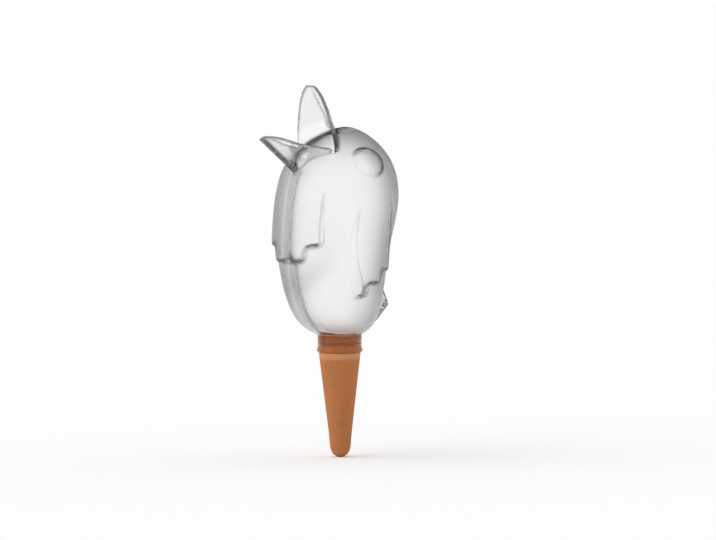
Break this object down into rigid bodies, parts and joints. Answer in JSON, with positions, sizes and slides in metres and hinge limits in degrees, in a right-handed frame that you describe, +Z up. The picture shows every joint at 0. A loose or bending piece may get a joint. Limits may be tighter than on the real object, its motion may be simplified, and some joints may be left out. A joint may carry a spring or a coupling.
{
  "type": "self watering spike",
  "caption": "Self-watering plant spike: clear bird-shaped water reservoir with an open beak for filling, on a hollow terracotta cone that is pushed into the soil.",
  "frame": {"origin": "on the axis of the clay cone, in the plane of its shoulder, where the neck of the bird stands and the soil ends", "axes": "+Z up along the cone's axis, away from the soil; the bird looks along -Y and its left side is +X"},
  "size_m": [0.063, 0.0826, 0.19],
  "materials": {
    "clear_shell": "clear, polished",
    "terracotta": "unglazed, matte",
    "seal": "matte"
  },
  "bodies": {
    "spike": {"clay_cone": "terracotta", "neck_seal": "seal"},
    "reservoir": {"left_shell": "clear_shell", "right_shell": "clear_shell"}
  },
  "joints": [
    {"name": "reservoir_lift", "type": "slide", "parent": "spike", "child": "reservoir", "axis": [0, 0, 1], "range_m": [0, 0.012]}
  ]
}
